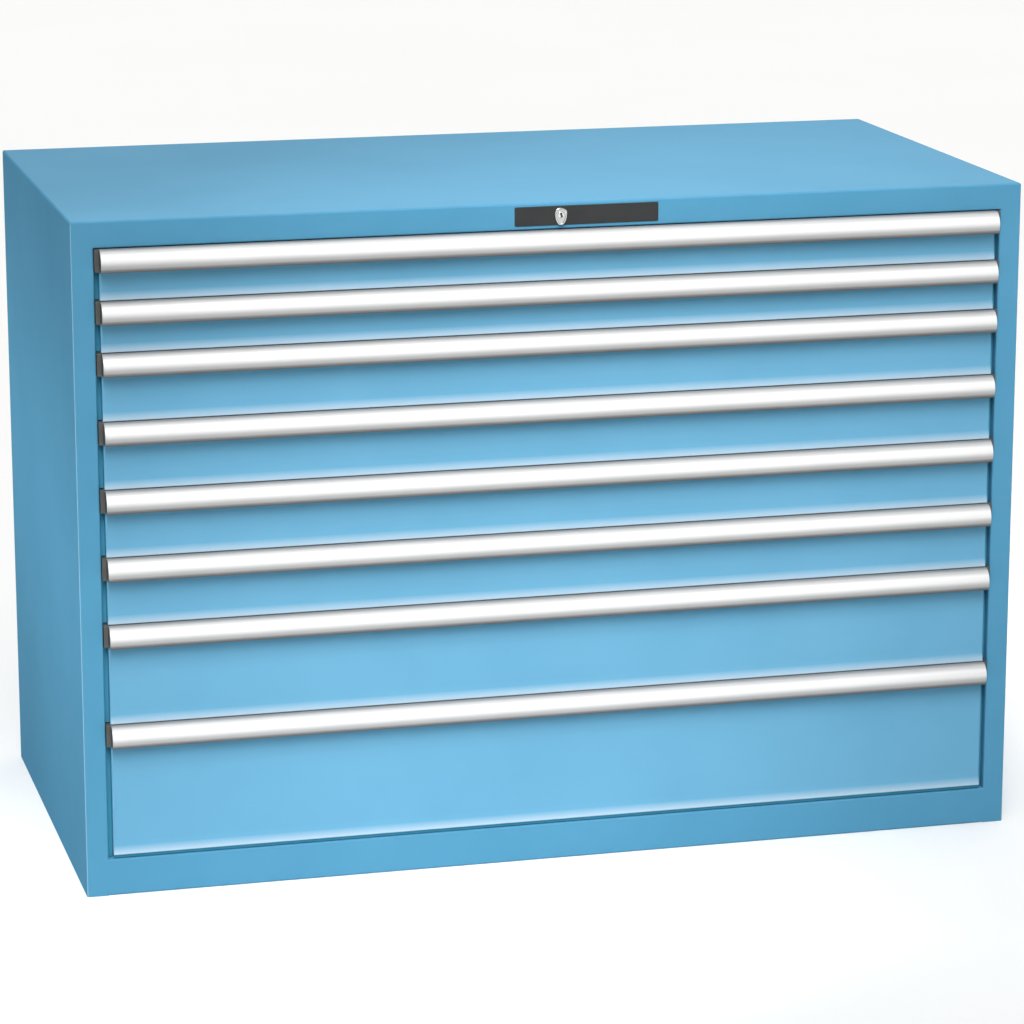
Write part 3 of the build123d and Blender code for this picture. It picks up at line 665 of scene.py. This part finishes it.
def makeShield():
    bm = bmesh.new()
    faceY, footY, endY = rosetteLow.y, rosetteLow.y + lock["thickness"], rosetteHigh.y
    bore, barrel = lock["bore"], lock["barrel"]
    bm.faces.new([bm.verts.new((x * mm, footY, lockZ + z * mm)) for x, z in lock["shield"]])
    bmesh.ops.bevel(bm, geom=bm.verts[:], offset=lock["corner"], offset_type="OFFSET", affect="VERTICES",
                    segments=4, profile=0.5, material=-1)
    pullFaces(bm, bm.faces[:], (0, -lock["thickness"], 0))
    bmesh.ops.recalc_face_normals(bm, faces=bm.faces[:])
    rim = [e for e in bm.edges if all(v.co.y < faceY + weld for v in e.verts)]
    roundFolds(bm, rim, lock["rimEdge"], segments=3)
    field = broadest(bm, (0, -1, 0))
    bmesh.ops.inset_region(bm, faces=[field], use_even_offset=True, thickness=lock["rim"])
    bmesh.ops.inset_region(bm, faces=[field], use_even_offset=True, thickness=lock["groove"],
                           depth=-lock["groove"])
    outline = openFace(bm, field)
    collarFoot = ringAt(bm, bore + lock["collar"], faceY + lock["groove"])
    fillBetween(bm, outline + collarFoot)
    outline = openFace(bm, broadest(bm, (0, 1, 0)))
    barrelFoot = ringAt(bm, barrel, footY)
    fillBetween(bm, outline + barrelFoot)
    tube(bm, collarFoot, ringAt(bm, bore + lock["collar"] / 2, faceY), ringAt(bm, bore, faceY),
         ringAt(bm, bore, endY), ringAt(bm, barrel, endY), barrelFoot)
    nutY = plateHigh.y + housing["sheet"]
    nutEnd = nutY + lock["nutThickness"]
    flats, hole = lock["nutAcross"] / math.sqrt(3), barrel + lock["nutFit"]
    nut = [ringAt(bm, flats, nutY, lock["nutSides"]), ringAt(bm, flats, nutEnd, lock["nutSides"]),
           ringAt(bm, hole, nutEnd), ringAt(bm, hole, nutY)]
    tube(bm, *nut, nut[0])
    finishPiece(bm, "lockShield", chrome, "housing", "lock_chrome", "lock_rosette")


def makePlug():
    bm = bmesh.new()
    radius, edge = plugHigh.x, lock["plugEdge"]
    face = ringAt(bm, radius - edge, plugLow.y)
    corners = [bm.verts.new((x * mm, plugLow.y, lockZ + z * mm)) for x, z in lock["keyway"]]
    key = [bm.edges.new(pair) for pair in zip(corners, corners[1:] + corners[:1])]
    fillBetween(bm, face + key)
    drawn = pullEdges(bm, key, (0, lock["keyDepth"], 0))
    inside = [g for g in drawn if isinstance(g, bmesh.types.BMFace)]
    keyEnd = [e for e in edgesOf(drawn) if e.is_boundary]
    inside += bmesh.ops.contextual_create(bm, geom=keyEnd)["faces"]
    # the keyway walls take the near black brass: painted shade
    for wall in inside:
        wall.material_index = 1
    end = ringAt(bm, radius, plugHigh.y)
    tube(bm, face, ringAt(bm, radius, plugLow.y + edge), end)
    bmesh.ops.contextual_create(bm, geom=end)
    piece = finishPiece(bm, "lockPlug", nickelBrass, "lock_core", "lock_chrome", "lock_plug")
    piece.data.materials.append(keywayShadeBrass)


makeLockPlate()
makeShield()
makePlug()
print("lock: plate, shield with barrel and nut, plug with its keyway")


# CAD nodes that keep their shape and get a finished material
for node, material in (("back_panel", bluePaint), ("left_guide_frame", zincSteel),
                       ("right_guide_frame", zincSteel), ("lock_shaft", zincSteel), ("lock_bar", zincSteel)):
    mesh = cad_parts[node].data
    mesh.materials.clear()
    mesh.materials.append(material)
print("back panel, guide frames and lock bar finished")


# floor size in metres, even light all round, and the sun lamps by name, strength, spread, height and side
studio = {"floorSize": 240.0, "worldColour": "#FFFFFF", "worldStrength": 0.08,
          "lamps": (("key", 1.25, 34.0, 51.0, -15.0), ("overhead", 1.75, 50.0, 84.0, -15.0),
                    ("rimBack", 0.8, 60.0, 15.0, -165.0), ("rimRight", 0.72, 60.0, 18.0, 140.0))}
# Studio floor, rolled with matt paint: near white and dull, with the faintest of clouds.
floorLook = {"name": "matt studio floor", "colours": ("#F2F2F1", "#F3F3F2"), "cloudMm": 1250, "roughness": 0.9,
             "gleam": 0.1}
# stacks of soft spots: one lays a long slanting pool of light over the fronts, one a level pool on the left
pools = ({"name": "frontPool", "strength": 880.0, "reach": 6.5, "heights": (28.0, 39.0, 50.0, 61.0),
          "side": -15.0, "softness": 0.65, "aim": (-0.05, -0.35, 0.5), "cone": 30.0, "narrow": 0.2,
          "slant": 44.0},
         {"name": "sidePool", "strength": 220.0, "reach": 5.0, "heights": (15.0, 32.0), "side": -105.0,
          "softness": 0.25, "aim": (-0.7155, 0.0, 0.5), "cone": 26.0, "narrow": 0.3, "slant": 90.0})


def makeFloor():
    bm = bmesh.new()
    bmesh.ops.create_grid(bm, x_segments=1, y_segments=1, size=studio["floorSize"] / 2)
    mesh = bpy.data.meshes.new("floor")
    bm.to_mesh(mesh)
    bm.free()
    material, tree, shader, coords = startMaterial(floorLook["name"])
    tree.links.new(cloudedColour(tree, coords, floorLook)[1], shader.inputs["Base Color"])
    shader.inputs["Roughness"].default_value = floorLook["roughness"]
    shader.inputs["Specular IOR Level"].default_value = floorLook["gleam"]
    mesh.materials.append(material)
    floor = bpy.data.objects.new("floor", mesh)
    bpy.context.scene.collection.objects.link(floor)


def towardsLamp(height, side):
    level, across = math.cos(math.radians(height)), math.radians(side)
    return Vector((level * math.sin(across), -level * math.cos(across), math.sin(math.radians(height))))


def addLamp(name, kind, strength, towards):
    light = bpy.data.objects.new(name, bpy.data.lights.new(name, kind))
    light.data.energy = strength
    light.rotation_euler = towards.to_track_quat("Z", "Y").to_euler()
    bpy.context.scene.collection.objects.link(light)
    return light


def makeLight():
    for name, strength, spread, height, side in studio["lamps"]:
        addLamp(name, "SUN", strength, towardsLamp(height, side)).data.angle = math.radians(spread)
    for pool in pools:
        for height in pool["heights"]:
            towards = towardsLamp(height, pool["side"])
            light = addLamp(pool["name"], "SPOT", pool["strength"], towards)
            light.data.spot_size = math.radians(pool["cone"])
            light.data.spot_blend = 1.0
            light.data.shadow_soft_size = pool["softness"]
            light.location = Vector(pool["aim"]) + towards * pool["reach"]
            light.rotation_euler.rotate_axis("Z", math.radians(-pool["slant"]))
            light.scale.x = pool["narrow"]
    world = bpy.data.worlds.new("studio")
    world.use_nodes = True
    sky = world.node_tree.nodes["Background"]
    sky.inputs["Color"].default_value = hexLinear(studio["worldColour"])
    sky.inputs["Strength"].default_value = studio["worldStrength"]
    bpy.context.scene.world = world


cameraView = {"place": (-1.4893, -5.779, 1.8996), "yaw": 14.634, "pitch": 13.607, "lens": 137.66,
              "sensor": 36.0, "clipEnd": 400.0}


def makeCamera():
    data = bpy.data.cameras.new("camera")
    data.lens = cameraView["lens"]
    data.sensor_width = cameraView["sensor"]
    data.clip_end = cameraView["clipEnd"]
    camera = bpy.data.objects.new("camera", data)
    camera.location = cameraView["place"]
    camera.rotation_euler = (math.radians(90 - cameraView["pitch"]), 0, math.radians(-cameraView["yaw"]))
    bpy.context.scene.collection.objects.link(camera)
    bpy.context.scene.camera = camera


makeFloor()
makeLight()
makeCamera()
bpy.context.scene.view_settings.view_transform = "Standard"
bpy.context.scene.view_settings.look = "None"
print("stage, light and camera")
